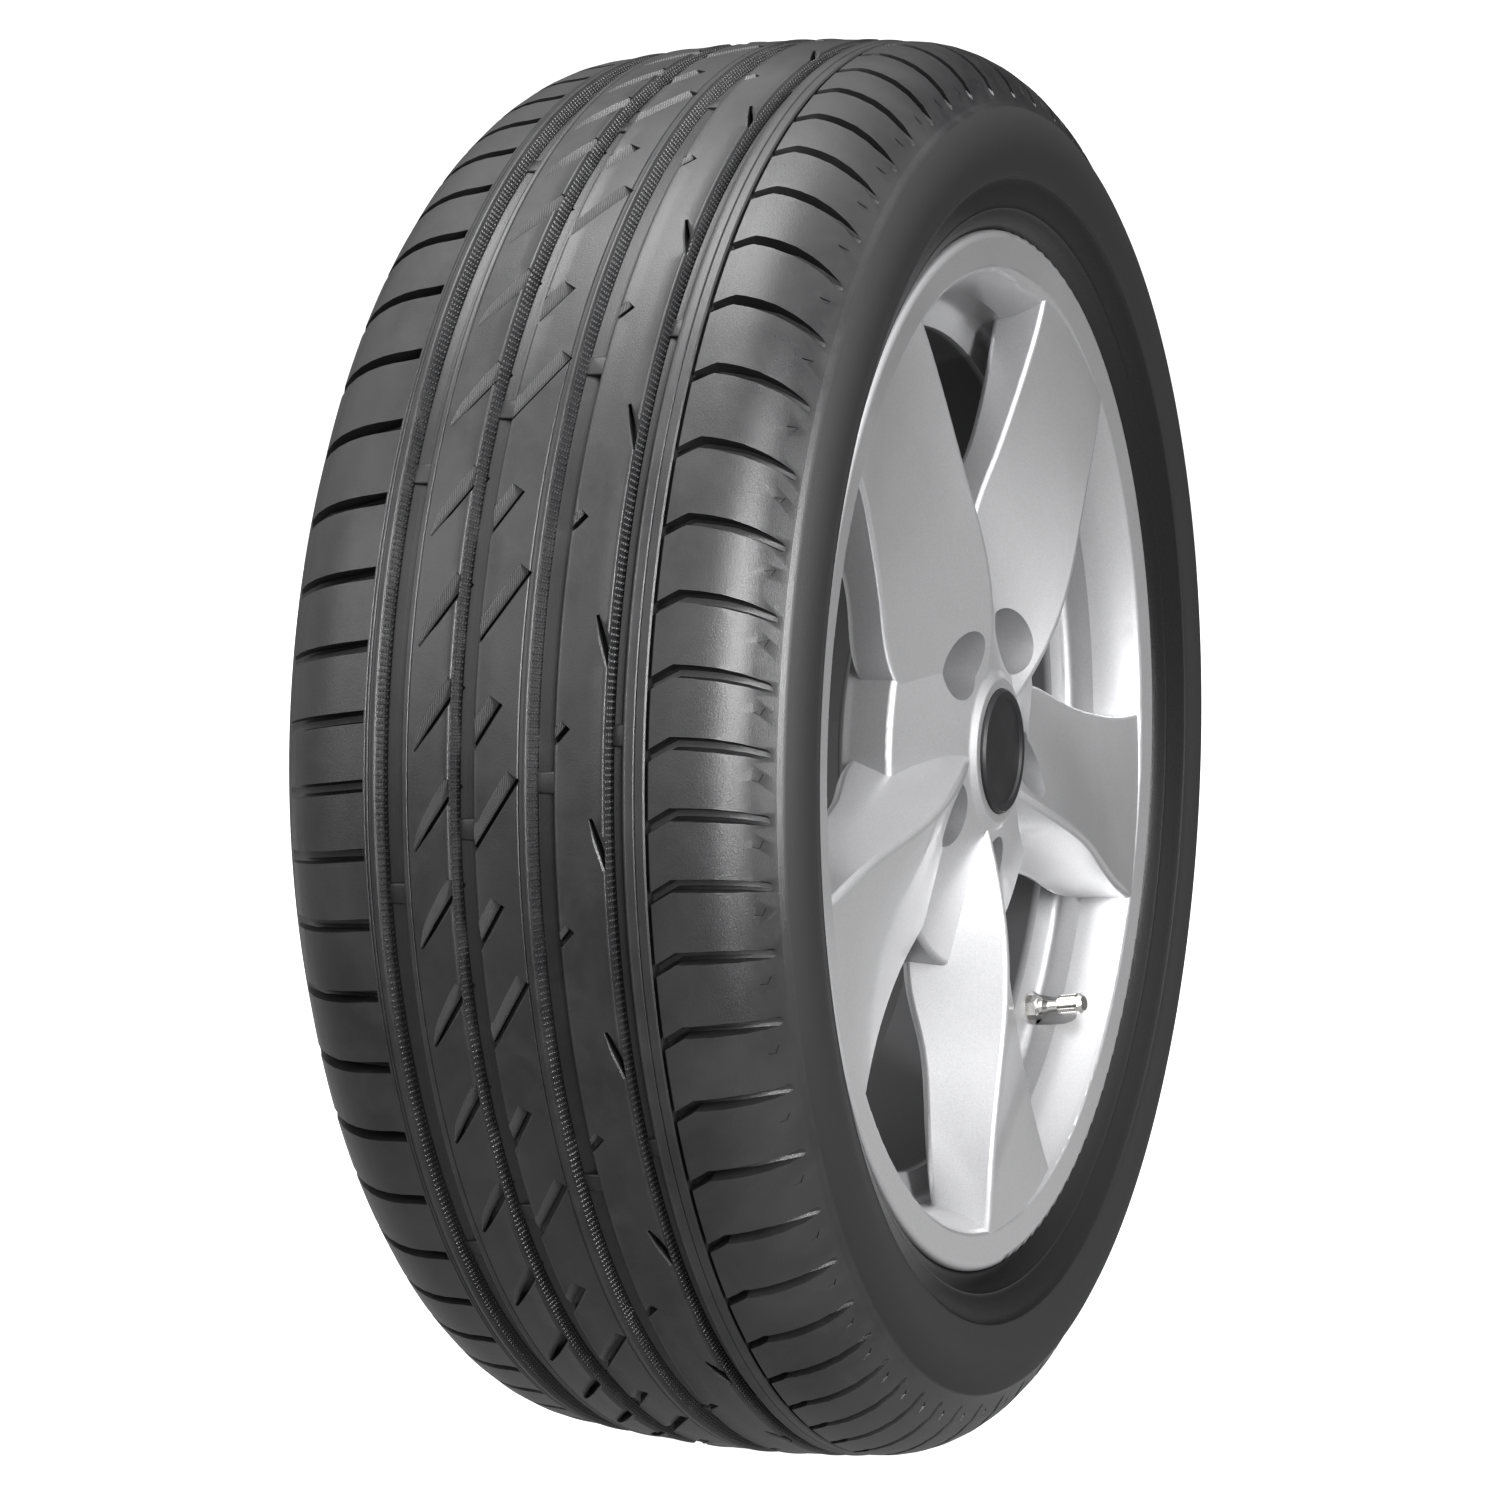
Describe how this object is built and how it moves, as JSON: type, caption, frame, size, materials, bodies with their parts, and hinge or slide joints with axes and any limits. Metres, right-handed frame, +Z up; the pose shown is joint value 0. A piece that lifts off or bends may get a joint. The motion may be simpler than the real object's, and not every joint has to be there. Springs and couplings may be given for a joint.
{
  "type": "car wheel with tyre",
  "caption": "Road car tyre with rain grooves and shoulder slots, mounted on a silver bladed alloy wheel with a centre cap and a metal clamp-in valve.",
  "frame": {"origin": "centre of the wheel, on the tyre's middle plane", "axes": "+Y along the axle towards the car, visible face towards -Y, +Z up"},
  "size_m": [0.6467, 0.226, 0.6466],
  "materials": {
    "tyre_rubber": "satin",
    "silver_paint": "satin",
    "cap_plastic": "satin",
    "spring_steel": "satin",
    "nickel": "polished",
    "seal_rubber": "matte",
    "brass": "satin"
  },
  "bodies": {
    "wheel": {"tyre": "tyre_rubber", "alloy_wheel": "silver_paint", "centre_cap": "cap_plastic", "cap_ring": "spring_steel", "valve_stem": "nickel", "valve_grommet": "seal_rubber", "valve_washer": "nickel", "valve_nut": "nickel", "valve_core_body": "brass", "valve_core_spring": "spring_steel"},
    "core_pin": {"valve_core_pin": "brass", "valve_core_seal": "seal_rubber"},
    "cap_seal": {"valve_cap_seal": "seal_rubber"},
    "cap": {"valve_cap": "nickel"}
  },
  "joints": [
    {"name": "cap_lift", "type": "slide", "parent": "wheel", "child": "cap_seal", "axis": [-0.1659, -0.9744, 0.152], "range_m": [0, 0.00993]},
    {"name": "cap_turn", "type": "hinge", "parent": "cap_seal", "child": "cap", "pos_m": [0.14875, -0.08223, -0.1363], "axis": [-0.1659, -0.9744, 0.152], "range_deg": [0, 4500]},
    {"name": "pin_press", "type": "slide", "parent": "wheel", "child": "core_pin", "axis": [0.1659, 0.9744, -0.152], "range_m": [0, 0.0015], "stiffness_N_per_m": 800, "springref_m": -0.0015, "deforming": ["valve_core_spring"]}
  ],
  "couplings": [
    {"joint": "cap_turn", "follows": "cap_lift", "rad_per_m": 7911}
  ]
}
